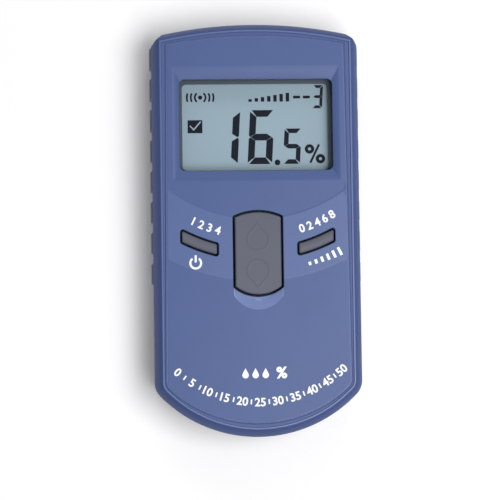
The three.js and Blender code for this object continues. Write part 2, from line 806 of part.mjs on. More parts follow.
const addToDisplay = subassembly("display");
addToDisplay("display_window", displayWindow(), "clear");
addToDisplay("lcd_front_glass", lcdGlass(LCD.rear + LCD.glass, LCD.ledge), "clear");
addToDisplay("lcd_rear_glass", lcdGlass(LCD.rear, 0), "lcd");
addToDisplay("lcd_frame", lcdFrame(), "frame");
addToDisplay("zebra_strip_upper", zebraStrip(LCD.high - LCD.ledge), "zebra");
addToDisplay("zebra_strip_lower", zebraStrip(LCD.low + LCD.ledge), "zebra");

const addToKeys = subassembly("keys");
addToKeys("mode_key", sideKey(-1), "key");
addToKeys("density_key", sideKey(1), "key");
addToKeys("rocker_key", rockerKey(), "key");
for (const [name, at] of Object.entries(SWITCHES)) {
  addToKeys(`${name}_switch_body`, switchBody(at), "chip");
  addToKeys(`${name}_switch_stem`, switchStem(at), "black");
}

const addToBoard = subassembly("board");
addToBoard("main_pcb", mainPcb(), "board");
addToBoard("microcontroller", underBoard(-7, 4, 10, 10, 1.5), "chip");
addToBoard("amplifier_chip", underBoard(9, 3, 4, 5, 1.6), "chip");
addToBoard("voltage_regulator", underBoard(13, -12, 4.5, 3.6, 4.6), "chip");
addToBoard("crystal", crystal(-17, 14), "steel");
addToBoard("supply_capacitor", supplyCapacitor(-14, -12), "jacket");
addToBoard("oscillator_inductor", oscillatorInductor(9, 15), "chip");
PCB_SCREWS.forEach((at, i) => addToBoard(`pcb_screw_${i + 1}`, screw(at, PCB_SCREW), "steel"));

const addToSensor = subassembly("sensor");
addToSensor("sensor_pad", sensorPad(), "pad");
addToSensor("sensor_electrode_inner", innerElectrode(), "copper");
addToSensor("sensor_electrode_outer", outerElectrode(), "copper");
addToSensor("sensor_spring_inner", contactSpring(0), "steel");
addToSensor("sensor_spring_outer", contactSpring(16.5), "steel");

const addToBattery = subassembly("battery_bay");
addToBattery("battery", batteryBody(), "jacket");
addToBattery("battery_terminal_positive", positiveTerminal(), "steel");
addToBattery("battery_terminal_negative", negativeTerminal(), "steel");
addToBattery("snap_connector", snapConnector(), "black");
addToBattery("snap_contact_positive", positiveSnap(), "steel");
addToBattery("snap_contact_negative", negativeSnap(), "steel");
addToBattery("battery_lead_red", lead(-1.1), "red");
addToBattery("battery_lead_black", lead(1.1), "black");
addToBattery("battery_foam_pad", foamPad(), "foam");

export default meter;
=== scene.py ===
"""Looks of a handheld pinless moisture meter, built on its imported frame.

Shapes are worked out in millimetres and written to meshes in metres. The meter lies on its back:
+Z points out of the front face and +Y towards the display end.
"""
import math

import bpy
import numpy as np
from mathutils import Matrix, Vector
from mathutils.geometry import delaunay_2d_cdt


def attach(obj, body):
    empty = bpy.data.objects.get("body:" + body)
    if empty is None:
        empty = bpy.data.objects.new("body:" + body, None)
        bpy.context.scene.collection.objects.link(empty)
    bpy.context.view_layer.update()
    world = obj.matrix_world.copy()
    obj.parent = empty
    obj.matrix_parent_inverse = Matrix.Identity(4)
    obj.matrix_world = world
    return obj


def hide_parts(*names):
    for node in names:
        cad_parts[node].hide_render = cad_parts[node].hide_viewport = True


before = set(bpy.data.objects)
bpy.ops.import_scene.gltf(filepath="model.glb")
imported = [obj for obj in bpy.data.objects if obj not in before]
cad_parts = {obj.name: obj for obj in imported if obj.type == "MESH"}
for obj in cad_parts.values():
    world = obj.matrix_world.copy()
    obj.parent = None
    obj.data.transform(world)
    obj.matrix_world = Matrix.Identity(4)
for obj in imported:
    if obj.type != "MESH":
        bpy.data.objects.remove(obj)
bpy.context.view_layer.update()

MM = 0.001

# ---- Driving dimensions in millimetres ----

COVER = {"half_width": 36.35, "half_length": 72.5, "top_r": 155.0, "bottom_r": 48.0, "corner": 7.0}
PANEL = {"half_width": 31.4, "half_length": 67.3, "top_r": 170.0, "bottom_r": 44.0, "corner": 3.5}
PANEL_TAPER = 0.00029
CHAMFER = (3.1, 3.4)
Z_SPLIT = 16.0
Z_SHOULDER = 20.4
Z_ROOF = 24.8
Z_RIM = 26.45
Z_GUTTER = 26.0
Z_PANEL = 26.9
WALL = 2.4
WALL_STEP = 0.1

WINDOW = {"x": 26.9, "low": 20.3, "high": 52.5, "r": 2.0}
BEZEL = {"side": 2.4, "low": 3.7, "high": 4.6, "depth": 1.1, "lift": 0.05, "curve": 0.75, "corner": 0.4}

KEY_RING = {"cy": 47.9, "inner": 55.0, "outer": 58.75, "near": 14.2, "far": 26.5}
KEY_GAP = 0.5
ROCKER = {"x": 8.15, "top": 4.0, "top_rise": 1.8, "bottom": -20.15, "bottom_rise": 2.9}
ROCKER_GAP = 0.6
CAP_EASE = 0.12
Z_KEY = 27.9
SIDE_KEY_CAP = {"low": 24.0, "crown": 0.45, "radius": 0.5}
ROCKER_CAP = {"low": 22.6, "crown": 0.3, "radius": 0.6}
KEY_AREA = {"high": 8, "low": -27, "reach": 29}

LCD_Z = 19.33
LAP = 1.7
LENS = {"top": 24.75, "low": 23.55, "corner": 2.0}
GLASS = {"reach": 28.0, "corner": 0.3, "front": (20.0, 52.8), "rear": (18.4, 54.4)}
FRONT_GLASS_Z = (20.3, 19.31)
REAR_GLASS_Z = (19.3, 18.3)
SHEET_EDGE_R = 0.15

PRINT_LIFT = 0.01
TICK_LIFT = 0.03
PLATE = 0.04

# Normals: the step that slopes are taken over, how far corners are sampled towards their triangle's
# middle, and the cosine between two walls above which they meet smoothly.
SLOPE_PROBE = 0.001
CORNER_PULL = 0.04
SMOOTH_WALL = 0.85


# ---- Outlines ----


def arc(cx, cy, radius, start, end, count):
    """Points on an arc, without the last one."""
    return [
        (cx + radius * math.cos(start + (end - start) * i / count),
         cy + radius * math.sin(start + (end - start) * i / count))
        for i in range(count)
    ]


def line(a, b, step):
    """Points from a towards b, without b, no further apart than step."""
    count = max(1, math.ceil(math.dist(a, b) / step))
    return [(a[0] + (b[0] - a[0]) * i / count, a[1] + (b[1] - a[1]) * i / count) for i in range(count)]


def densify(points, step):
    """The closed outline with no side longer than step."""
    out = []
    for i, a in enumerate(points):
        out += line(a, points[(i + 1) % len(points)], step)
    return out


class Arched:
    """A tall outline with straight sides, a sharp-cornered arched top and a round-cornered bottom."""

    def __init__(self, half_width, half_length, top_r, bottom_r, corner, taper=0.0):
        self.taper = taper
        self.half_width = half_width
        self.top_r = top_r
        self.bottom_r = bottom_r
        self.corner = corner
        self.top_y = half_length - top_r
        self.bottom_y = bottom_r - half_length
        self.cx = half_width - corner
        self.cy = self.bottom_y - math.sqrt((bottom_r - corner) ** 2 - self.cx**2)
        self.angle = math.atan2(self.cy - self.bottom_y, self.cx)

    def inset(self, x, y):
        """How far a point lies inside the outline."""
        x = x / (1 - self.taper * y)
        side = self.half_width - abs(x)
        top = self.top_r - math.hypot(x, y - self.top_y)
        bottom = self.bottom_r - math.hypot(x, min(y - self.bottom_y, 0))
        dx = abs(x) - self.cx
        dy = y - self.cy
        if dx > 0 and dy < 0 and math.atan2(dy, dx) > self.angle:
            return self.corner - math.hypot(dx, dy)
        return min(side, top, bottom)

    def outline(self, inset):
        """The outline moved inwards by inset."""
        return [(x * (1 - self.taper * y), y) for x, y in self.straight(inset)]

    def straight(self, inset):
        """The outline moved inwards by inset, before its taper."""
        width = self.half_width - inset
        top_r = self.top_r - inset
        bottom_r = self.bottom_r - inset
        corner = self.corner - inset
        top_angle = math.acos(width / top_r)
        top_corner = self.top_y + top_r * math.sin(top_angle)
        points = line((width, self.cy), (width, top_corner), 4)
        points += arc(0, self.top_y, top_r, top_angle, math.pi - top_angle, 32)
        points += line((-width, top_corner), (-width, self.cy), 4)
        if corner > 0.2:
            points += arc(-self.cx, self.cy, corner, math.pi, math.pi - self.angle, 10)
            points += arc(0, self.bottom_y, bottom_r, math.pi - self.angle, 2 * math.pi + self.angle, 44)
            points += arc(self.cx, self.cy, corner, self.angle, 0, 10)
            return points
        low = -math.acos(width / bottom_r)
        corner_y = self.bottom_y + bottom_r * math.sin(low)
        points += line((-width, self.cy), (-width, corner_y), 2)
        points += arc(0, self.bottom_y, bottom_r, math.pi - low, 2 * math.pi + low, 44)
        points += line((width, corner_y), (width, self.cy), 2)
        return points


def rounded_rect(x0, x1, y0, y1, radius, steps=6, side=3.0):
    """A rectangle with round corners, as a closed outline."""
    left, right = x0 + radius, x1 - radius
    low, high = y0 + radius, y1 - radius
    points = []
    for k, (cx, cy) in enumerate(((right, high), (left, high), (left, low), (right, low))):
        start = k * math.pi / 2
        end = (k + 1) * math.pi / 2
        points += arc(cx, cy, radius, start, end, steps)
        points.append((cx + radius * math.cos(end), cy + radius * math.sin(end)))
    return densify(points, side)


def signed_area(points):
    """The area of a closed outline, positive if it runs anticlockwise."""
    return 0.5 * sum(
        a[0] * b[1] - b[0] * a[1] for a, b in zip(points, points[1:] + points[:1])
    )


def moved_in(points, inset):
    """A closed outline moved inwards by mitred offsets."""
    count = len(points)
    sign = 1 if signed_area(points) > 0 else -1
    out = []
    for i, p in enumerate(points):
        before = Vector(p) - Vector(points[i - 1])
        after = Vector(points[(i + 1) % count]) - Vector(p)
        n1 = Vector((-before.y, before.x)).normalized() * sign
        n2 = Vector((-after.y, after.x)).normalized() * sign
        middle = (n1 + n2).normalized()
        reach = inset / max(0.4, middle.dot(n1))
        out.append((p[0] + middle.x * reach, p[1] + middle.y * reach))
    return out


def round_corners(points, radius, steps=4, sharper_than=0.5):
    """Replaces each sharp corner of a closed outline by an arc."""
    out = []
    count = len(points)
    for i, p in enumerate(points):
        a = Vector(points[i - 1]) - Vector(p)
        b = Vector(points[(i + 1) % count]) - Vector(p)
        turn = math.pi - a.angle(b)
        if turn < sharper_than:
            out.append(p)
            continue
        back = radius * math.tan(turn / 2)
        start = Vector(p) + a.normalized() * back
        end = Vector(p) + b.normalized() * back
        centre = Vector(p) + (a.normalized() + b.normalized()).normalized() * (radius / math.cos(turn / 2))
        a0 = math.atan2(start.y - centre.y, start.x - centre.x)
        a1 = math.atan2(end.y - centre.y, end.x - centre.x)
        sweep = (a1 - a0 + math.pi) % (2 * math.pi) - math.pi
        out += arc(centre.x, centre.y, radius, a0, a0 + sweep * (steps + 1) / steps, steps + 1)
    return out


def side_key_outline(side):
    """A side key's outline with square corners. side is -1 for the left key and 1 for the right one."""
    ring = KEY_RING

    def bow(radius, start, end):
        bend = arc(0, ring["cy"], radius, -math.acos(start / radius), -math.acos(end / radius), 14)
        return [*bend, (end, ring["cy"] - math.sqrt(radius**2 - end**2))]

    points = bow(ring["outer"], ring["near"], ring["far"]) + bow(ring["inner"], ring["far"], ring["near"])
    if side > 0:
        return points
    return [(-x, y) for x, y in reversed(points)]


def rocker_outline():
    """The rocker's outline with its square corners."""
    width = ROCKER["x"]
    points = []
    for corner_y, rise, sign in (
        (ROCKER["top"], ROCKER["top_rise"], 1),
        (ROCKER["bottom"], ROCKER["bottom_rise"], -1),
    ):
        radius = (width**2 + rise**2) / (2 * rise)
        half = math.asin(width / radius)
        cy = corner_y + sign * (rise - radius)
        middle = sign * math.pi / 2
        points += arc(0, cy, radius, middle - half, middle + half, 20)
        points.append((-sign * width, corner_y))
    return points


cover = Arched(**COVER)
panel = Arched(**PANEL, taper=PANEL_TAPER)


def chamfer_line():
    """A point on the display end's corner cut, and the cut's outward direction."""
    x = COVER["half_width"]
    corner_y = COVER["half_length"] - COVER["top_r"] + math.sqrt(COVER["top_r"] ** 2 - x**2)
    out = Vector((CHAMFER[1], CHAMFER[0])).normalized()
    return Vector((x, corner_y - CHAMFER[1])), out


CUT_POINT, CUT_OUT = chamfer_line()


def cut_inset(x, y):
    """How far a point lies inside the corner cuts."""
    return -(Vector((abs(x), y)) - CUT_POINT).dot(CUT_OUT)


def cover_edge(inset):
    """The front cover's outline with its corner cuts, moved inwards."""
    points = cover.outline(inset)
    kept = []
    count = len(points)
    for i, p in enumerate(points):
        q = points[(i + 1) % count]
        here = cut_inset(*p) - inset
        there = cut_inset(*q) - inset
        if here >= 0:
            kept.append(p)
        if here * there < 0:
            t = here / (here - there)
            kept.append((p[0] + (q[0] - p[0]) * t, p[1] + (q[1] - p[1]) * t))
    return kept


# ---- Smooth height functions ----


def ramp(value, start, end):
    """A smooth step from 0 at start to 1 at end."""
    t = min(1.0, max(0.0, (value - start) / (end - start)))
    return t * t * (3 - 2 * t)


def edge_round(depth, radius):
    """How far a rounded edge has dropped at a distance in from it."""
    if depth >= radius:
        return 0.0
    away = radius - max(depth, 0.0)
    return radius - math.sqrt(max(radius**2 - away**2, 0.0))


def outside_polygon(points):
    """A function that gives the signed distance outside a closed outline."""
    a = np.array(points)
    b = np.roll(a, -1, axis=0)
    ab = b - a
    length2 = np.maximum((ab**2).sum(1), 1e-12)

    def distance(x, y):
        p = np.array((x, y))
        t = np.clip(((p - a) * ab).sum(1) / length2, 0, 1)
        near = a + ab * t[:, None]
        gap = np.sqrt(((p - near) ** 2).sum(1).min())
        crosses = ((a[:, 1] > y) != (b[:, 1] > y)) & (
            x < a[:, 0] + (y - a[:, 1]) * ab[:, 0] / np.where(ab[:, 1] == 0, 1e-12, ab[:, 1])
        )
        return -gap if crosses.sum() % 2 else gap

    return distance


# ---- Height-field solids ----


def inside_mask(points, polygon):
    """Which of the points lie inside a closed outline."""
    poly = np.array(polygon)
    inside = np.zeros(len(points), bool)
    x = points[:, 0]
    y = points[:, 1]
    for a, b in zip(poly, np.roll(poly, -1, axis=0)):
        if a[1] == b[1]:
            continue
        crosses = ((a[1] > y) != (b[1] > y)) & (x < a[0] + (y - a[1]) * (b[0] - a[0]) / (b[1] - a[1]))
        inside ^= crosses
    return inside


def triangulate(edge, holes, loops, lines, grid):
    """Triangles over an outline with holes, with the loops and lines as edges and the grid as points."""
    points = []
    edges = []

    def add(chain, closed):
        first = len(points)
        points.extend(chain)
        count = len(chain)
        edges.extend((first + i, first + (i + 1) % count) for i in range(count if closed else count - 1))

    for chain in [edge, *holes, *loops]:
        add(chain, True)
    for chain in lines:
        add(chain, False)
    points.extend(grid)
    vectors = [Vector(p) for p in points]
    verts, _, faces, *_ = delaunay_2d_cdt(vectors, edges, [], 0, 1e-5)
    flat = np.array([(v.x, v.y) for v in verts])
    tris = np.array([f for f in faces if len(f) == 3])
    middles = flat[tris].mean(axis=1)
    keep = inside_mask(middles, edge)
    for hole in holes:
        keep &= ~inside_mask(middles, hole)
    tris = tris[keep]
    ab = flat[tris[:, 1]] - flat[tris[:, 0]]
    ac = flat[tris[:, 2]] - flat[tris[:, 0]]
    area = ab[:, 0] * ac[:, 1] - ab[:, 1] * ac[:, 0]
    tris[area < 0] = tris[area < 0][:, ::-1]
    used = np.unique(tris)
    renumber = np.full(len(flat), -1)
    renumber[used] = np.arange(len(used))
    return flat[used], renumber[tris]


def border_sides(tris):
    """The sides of triangles that no other triangle shares, in their own direction."""
    sides = dict.fromkeys(
        (int(a), int(b)) for t in tris for a, b in ((t[0], t[1]), (t[1], t[2]), (t[2], t[0]))
    )
    return [(a, b) for a, b in sides if (b, a) not in sides]


def closed_faces(tris, count):
    """Faces of a closed plate: the triangles, their lower copies count further on, and the walls."""
    faces = [tuple(t) for t in tris] + [tuple(int(k) + count for k in t[::-1]) for t in tris]
    return faces + [(a, a + count, b + count, b) for a, b in border_sides(tris)]


def new_object(name, verts, faces, normals=None):
    """A mesh object from millimetres, with its own normals if they're given."""
    mesh = bpy.data.meshes.new(name)
    mesh.from_pydata((np.asarray(verts) * MM).tolist(), [], [list(map(int, f)) for f in faces])
    mesh.validate()
    mesh.update()
    if normals is not None and len(normals) == len(mesh.loops):
        mesh.polygons.foreach_set("use_smooth", [True] * len(mesh.polygons))
        mesh.normals_split_custom_set(normals)
    obj = bpy.data.objects.new(name, mesh)
    bpy.context.collection.objects.link(obj)
    return obj


def sheet_solid(name, edge, height, under, holes=(), loops=(), lines=(), grid=()):
    """A closed solid between two height functions over an outline with holes.

    The upper side's normals come from the height function just inside each triangle, so that every
    listed loop and line may be a crisp edge and everything between them is smooth.
    """
    flat, tris = triangulate(edge, holes, loops, lines, grid)
    verts = [(x, y, surface(x, y)) for surface in (height, under) for x, y in flat]
    normals = []
    for t in tris:
        middle = flat[t].mean(axis=0)
        for k in t:
            p = flat[k] + (middle - flat[k]) * CORNER_PULL
            z = height(p[0], p[1])
            dx = (height(p[0] + SLOPE_PROBE, p[1]) - z) / SLOPE_PROBE
            dy = (height(p[0], p[1] + SLOPE_PROBE) - z) / SLOPE_PROBE
            normals.append(Vector((-dx, -dy, 1)).normalized())
    normals += [Vector((0, 0, -1))] * (3 * len(tris))

    def facing(a, b):
        """The outward direction of a border side."""
        d = flat[b] - flat[a]
        return np.array((d[1], -d[0])) / max(np.hypot(*d), 1e-9)

    border = border_sides(tris)
    outward = {}
    for side in border:
        for k in side:
            outward.setdefault(k, []).append(facing(*side))

    def side_normal(k, n):
        """Smooth around a curve, and crisp at a corner."""
        total = np.sum([m for m in outward[k] if m.dot(n) > SMOOTH_WALL], axis=0)
        return Vector((total[0], total[1], 0)).normalized()

    for a, b in border:
        n = facing(a, b)
        normals += [side_normal(a, n)] * 2 + [side_normal(b, n)] * 2
    return new_object(name, verts, closed_faces(tris, len(flat)), normals)


def grid_points(x0, x1, y0, y1, step, clear_of, clear):
    """Points of a staggered grid, those too near a loop left out."""
    near = np.array([p for chain in clear_of for p in chain])
    out = []
    rows = int((y1 - y0) / step)
    for j in range(1, rows):
        y = y0 + (y1 - y0) * j / rows
        columns = int((x1 - x0) / step)
        for i in range(1, columns):
            x = x0 + (x1 - x0) * (i + 0.5 * (j % 2)) / columns
            if np.min(np.hypot(near[:, 0] - x, near[:, 1] - y)) >= clear:
                out.append((x, y))
    return out


# ---- Front cover ----

SLOPE_WIDTH = 2.8
RIM_OUT = 3.0
RIM_IN = 3.35
RIM_ROUND = 0.25
GUTTER_IN = 3.6
GUTTER_REACH = 1.4
SLOPE_BULGE = 0.75
SHOULDER_R = 0.5
CUT_R = 0.35
BEAD = {"foot": 0.72, "peak": 0.46, "groove": 0.2, "height": 0.62, "groove_z": 26.25}
EDGE_R = 0.25
BEZEL_SOFT = (0.9, 1.1)
KEY_EDGE_R = 0.3
BAND = {"top_y": 55.3, "top_r": 51.6, "low_y": 49.4, "low_r": 67.9, "soft": 0.6, "rise": 0.1}
BAND_REACH = 30.5
SCOOP = {"cy": -18.25, "r": 9.9, "half": 8.6, "depth": 0.95, "run": 3.2, "side": 1.2}
PANEL_CROWN = {"across": 0.28, "along": 0.1, "sink": 0.15}


def slope_z(inset):
    """The sloped band between the shoulder and the rim, slightly convex, rounded at the shoulder."""
    t = min(max(inset / SLOPE_WIDTH, 0), 1)
    straight = Z_SHOULDER + (Z_RIM - RIM_ROUND - Z_SHOULDER) * t
    return straight + SLOPE_BULGE * math.sin(math.pi * t) - edge_round(inset, SHOULDER_R)


def rim_z(inset):
    """The slope, the rim and the gutter's outer side, by the distance inside the cover's edge."""
    if inset < SLOPE_WIDTH:
        return slope_z(inset)
    if inset < RIM_OUT:
        quarter = math.pi / 2 * (inset - SLOPE_WIDTH) / (RIM_OUT - SLOPE_WIDTH)
        return Z_RIM - RIM_ROUND + RIM_ROUND * math.sin(quarter)
    if inset < RIM_IN:
        return Z_RIM
    return Z_RIM - (Z_RIM - Z_GUTTER) * ramp(inset, RIM_IN, GUTTER_IN)


def bead_z(out):
    """The fine bead and groove that run around the panel, by the distance outside the panel's edge."""
    if out > BEAD["foot"]:
        return Z_GUTTER
    if out > BEAD["peak"]:
        t = (BEAD["foot"] - out) / (BEAD["foot"] - BEAD["peak"])
        return Z_GUTTER + BEAD["height"] * math.sin(math.pi / 2 * t)
    if out > BEAD["groove"]:
        return BEAD["groove_z"] + (Z_GUTTER + BEAD["height"] - BEAD["groove_z"]) * ramp(
            out, BEAD["groove"], BEAD["peak"]
        )
    return BEAD["groove_z"]


def band_amount(x, y):
    """1 inside the curved band that the keys sit in, 0 outside it, with soft edges."""
    from_top = math.hypot(x, y - BAND["top_y"]) - BAND["top_r"]
    from_low = BAND["low_r"] - math.hypot(x, y - BAND["low_y"])
    soft = BAND["soft"]
    return ramp(from_top, 0, soft) * ramp(from_low, 0, soft)


def scoop_amount(x, y):
    """How deep the thumb scoop below the rocker is, from 0 at its edge to 1 inside."""
    inside = SCOOP["r"] - math.hypot(x, y - SCOOP["cy"])
    if inside <= 0:
        return 0.0
    return min(inside / SCOOP["run"], 1.0) * ramp(SCOOP["half"] - abs(x), 0, SCOOP["side"])


def panel_z(x, y):
    """The panel's surface, before any edge."""
    across = PANEL_CROWN["across"] * (1 - (x / PANEL["half_width"]) ** 2)
    along = PANEL_CROWN["along"] * (1 - (y / PANEL["half_length"]) ** 2)
    z = Z_PANEL + (across + along) - PANEL_CROWN["sink"]
    z += BAND["rise"] * band_amount(x, y)
    z -= SCOOP["depth"] * scoop_amount(x, y)
    return z


def bezel_t(x, y):
    """0 at the window's edge and 1 at the bezel's outer edge."""
    return max(
        (abs(x) - WINDOW["x"]) / BEZEL["side"],
        (y - WINDOW["high"]) / BEZEL["high"],
        (WINDOW["low"] - y) / BEZEL["low"],
    )


key_holes = [round_corners(moved_in(side_key_outline(side), -KEY_GAP), 0.9) for side in (-1, 1)]
rocker_hole = round_corners(moved_in(rocker_outline(), -ROCKER_GAP), 0.7, sharper_than=0.3)
window_hole = rounded_rect(
    -WINDOW["x"], WINDOW["x"], WINDOW["low"], WINDOW["high"], WINDOW["r"], steps=8
)
hole_gaps = [outside_polygon(hole) for hole in (*key_holes, rocker_hole)]


def near_hole(x, y):
    """The distance outside the nearest key opening, or infinity well away from them all."""
    if y > KEY_AREA["high"] or y < KEY_AREA["low"] or abs(x) > KEY_AREA["reach"]:
        return math.inf
    return min(gap(x, y) for gap in hole_gaps)


def cover_z(x, y):
    """The front cover's outer surface."""
    in_panel = panel.inset(x, y)
    if in_panel < 0:
        z = rim_z(cover.inset(x, y))
        if in_panel > -GUTTER_REACH:
            z = max(z, bead_z(-in_panel))
    else:
        z = panel_z(x, y) - edge_round(in_panel, EDGE_R)
        t = bezel_t(x, y)
        if t < BEZEL_SOFT[1]:
            foot = Z_PANEL + BEZEL["lift"] - BEZEL["depth"]
            t_in = min(t, 1.0)
            share = BEZEL["curve"] * math.sin(math.pi / 2 * t_in) + (1 - BEZEL["curve"]) * t_in
            inner = foot + (panel_z(x, y) - foot) * share
            z = z + (inner - z) * (1 - ramp(t, *BEZEL_SOFT))
        gap = near_hole(x, y)
        if gap < KEY_EDGE_R:
            z -= edge_round(gap, KEY_EDGE_R)
    return z - edge_round(cut_inset(x, y), CUT_R)


def cover_under(x, y):
    """The front cover's inner surface: the joint's face, then the roof."""
    inset = min(cover.inset(x, y), cut_inset(x, y))
    return Z_SPLIT if inset < WALL + WALL_STEP / 2 else Z_ROOF


def bezel_loop(t):
    """The bezel's outline at t, which runs from the window's edge to the bezel's."""
    reach = WINDOW["x"] + t * BEZEL["side"]
    low = WINDOW["low"] - t * BEZEL["low"]
    high = WINDOW["high"] + t * BEZEL["high"]
    return rounded_rect(-reach, reach, low, high, BEZEL["corner"] + t, steps=4)


def low_arc(cy, radius, reach, count=60):
    """The lower part of a circle around (0, cy), from -reach to reach in x."""
    half = math.asin(reach / radius)
    return arc(0, cy, radius, -math.pi / 2 - half, -math.pi / 2 + half, count)


EDGE_ROWS = (0.04, 0.12, 0.24, 0.4)
SLOPE_ROWS = (0.7, 1.1, 1.5, 1.9, 2.3, 2.65, SLOPE_WIDTH)
RIM_ROWS = (2.86, 2.93, RIM_OUT, RIM_IN, 3.41, 3.48, 3.54, GUTTER_IN)
BEAD_ROWS = (0.72, 0.67, 0.6, 0.53, 0.46, 0.4, 0.33, 0.26, 0.2)
PANEL_ROWS = (0, 0.04, 0.1, 0.17, 0.25)
HOLE_ROWS = (0.03, 0.09, 0.18, KEY_EDGE_R)
BEZEL_ROWS = (0.9, 0.95, 1.0, 1.05, 1.1)
SCOOP_ROWS = (0, 0.4, 0.8, 1.2)
COARSE_GRID = (-31, 31, -67.5, 67.5, 1.6)
FINE_GRID = (-31, 31, -32, 8, 0.8)
JUST_INSIDE = 0.001


def bezel_creases():
    """Lines from the window's corners to the bezel's, where its four sides meet."""
    creases = []
    for sx in (-1, 1):
        for edge_y, grow in ((WINDOW["low"], -BEZEL["low"]), (WINDOW["high"], BEZEL["high"])):
            inner = np.array((sx * WINDOW["x"], edge_y))
            outer = np.array((sx * (WINDOW["x"] + BEZEL["side"]), edge_y + grow))
            creases.append([tuple(inner + (outer - inner) * k) for k in (0.02, 0.5, 0.88)])
    return creases


def band_and_scoop_creases():
    """Lines along the band's two soft edges and around the scoop."""
    creases = []
    for step in (0, 0.5, 1):
        soft = step * BAND["soft"]
        creases.append(low_arc(BAND["top_y"], BAND["top_r"] + soft, BAND_REACH))
        creases.append(low_arc(BAND["low_y"], BAND["low_r"] - soft, BAND_REACH))
    creases.append(low_arc(SCOOP["cy"], SCOOP["r"], SCOOP["half"], 24))
    for sx in (-1, 1):
        for inside in SCOOP_ROWS:
            x = sx * (SCOOP["half"] - inside)
            creases.append([(x, SCOOP["cy"] - 2), (x, SCOOP["cy"] - 5.5)])
    return creases


def make_front_cover():
    """The front cover's shell, with a row of points along each edge and crease."""
    key_openings = [*key_holes, rocker_hole]
    loops = [cover_edge(inset) for inset in EDGE_ROWS]
    loops += [cover.outline(inset) for inset in SLOPE_ROWS + RIM_ROWS]
    loops += [cover_edge(WALL), cover_edge(WALL + WALL_STEP)]
    loops += [panel.outline(-out) for out in BEAD_ROWS]
    loops += [panel.outline(inset + JUST_INSIDE) for inset in PANEL_ROWS]
    loops += [moved_in(hole, -inset) for hole in key_openings for inset in HOLE_ROWS]
    loops += [bezel_loop(t) for t in BEZEL_ROWS]
    holes = [window_hole, *key_openings]
    creases = bezel_creases() + band_and_scoop_creases()
    chains = loops + holes + creases
    grid = grid_points(*COARSE_GRID, chains, 0.6) + grid_points(*FINE_GRID, chains, 0.4)
    return sheet_solid(
        "front_cover_shell", cover_edge(0), cover_z, cover_under, holes, loops, creases, grid
    )


# ---- Keys ----

KEY_ROWS = (0.03, 0.1, 0.22, 0.4, 0.65, 1.0)
KEY_GRID = 0.55


def make_key(name, outline, across, low, crown, radius, lines=()):
    """A moulded key with a rounded edge, a crowned top and fine raised lines on it.

    across gives a point's place on the crown, 0 on its ridge and 1 or -1 at its sides.
    """
    gap = outside_polygon(outline)
    raised = [raised_line(chain) for chain in lines]

    def height(x, y):
        z = Z_KEY - edge_round(-gap(x, y), radius)
        z -= crown * min(abs(across(x, y)), 1) ** 2
        for line_height in raised:
            z += line_height(x, y)
        return z

    loops = [moved_in(outline, radius * share) for share in KEY_ROWS]
    loops += [moved_in(chain, inset) for chain in lines for inset in DROP_LINE["rows"]]
    xs = [p[0] for p in outline]
    ys = [p[1] for p in outline]
    inner = moved_in(outline, radius + 0.1)
    grid = np.array(grid_points(min(xs), max(xs), min(ys), max(ys), KEY_GRID, loops, 0.25))
    grid = [tuple(p) for p in grid[inside_mask(grid, inner)]]
    return sheet_solid(name, outline, height, lambda x, y: low, (), loops, (), grid)


def drop_outline(cy, radius, apex, steps=28, flank_steps=8, spread_by=1.08, hollow=0.35):
    """A drop around a circle at cy, with hollow flanks that meet in a point at the height apex."""
    sign = 1 if apex > cy else -1
    reach = abs(apex - cy)
    half = math.acos(radius / reach) * spread_by
    points = arc(0, cy, radius, math.pi / 2 + half, 2.5 * math.pi - half, steps)
    start = points[0]
    end = (-start[0], start[1])
    tip = (0.0, cy + reach)
    for a, b, side in ((end, tip, 1), (tip, start, -1)):
        for k in range(flank_steps):
            t = k / flank_steps
            x = a[0] + (b[0] - a[0]) * t
            y = a[1] + (b[1] - a[1]) * t
            points.append((x - side * hollow * math.sin(math.pi * t), y))
    return [(x, cy + sign * (y - cy)) for x, y in points]


DROPS = [drop_outline(-3.9, 3.7, 2.3), drop_outline(-14.7, 3.85, -20.9)]
DROP_LINE = {"height": 0.1, "width": 0.2, "rows": (-0.4, -0.2, 0, 0.2, 0.4)}


def raised_line(outline):
    """The height of a fine raised line along an outline."""
    gap = outside_polygon(outline)
    return lambda x, y: DROP_LINE["height"] * math.exp(-((gap(x, y) / DROP_LINE["width"]) ** 2))


# ---- Printed legends and display segments ----


def glyph_mesh(text, size, bold):
    """A text as a thin plate, centred on its middle."""
    curve = bpy.data.curves.new("glyph", "FONT")
    curve.body = text
    curve.size = size
    curve.offset = bold
    curve.extrude = PLATE / 2
    curve.resolution_u = 4
    curve.align_x = "CENTER"
    curve.align_y = "CENTER"
    temp = bpy.data.objects.new("glyph", curve)
    bpy.context.collection.objects.link(temp)
    bpy.context.view_layer.update()
    mesh = bpy.data.meshes.new_from_object(temp.evaluated_get(bpy.context.evaluated_depsgraph_get()))
    verts = [tuple(v.co) for v in mesh.vertices]
    faces = [tuple(p.vertices) for p in mesh.polygons]
    bpy.data.objects.remove(temp)
    bpy.data.curves.remove(curve)
    bpy.data.meshes.remove(mesh)
    xs = [v[0] for v in verts]
    ys = [v[1] for v in verts]
    mx = (min(xs) + max(xs)) / 2
    my = (min(ys) + max(ys)) / 2
    return [(x - mx, y - my, z) for x, y, z in verts], faces


def slab(outline):
    """A closed outline as a thin plate."""
    if signed_area(outline) < 0:
        outline = outline[::-1]
    flat, tris = triangulate(outline, (), (), (), ())
    verts = [(x, y, z) for z in (PLATE / 2, -PLATE / 2) for x, y in flat]
    return verts, closed_faces(tris, len(flat))


def placed(part, x, y, turn=0.0):
    """A flat part turned and moved to its place."""
    verts, faces = part
    c = math.cos(turn)
    s = math.sin(turn)
    return [(x + c * u - s * v, y + s * u + c * v, z) for u, v, z in verts], faces


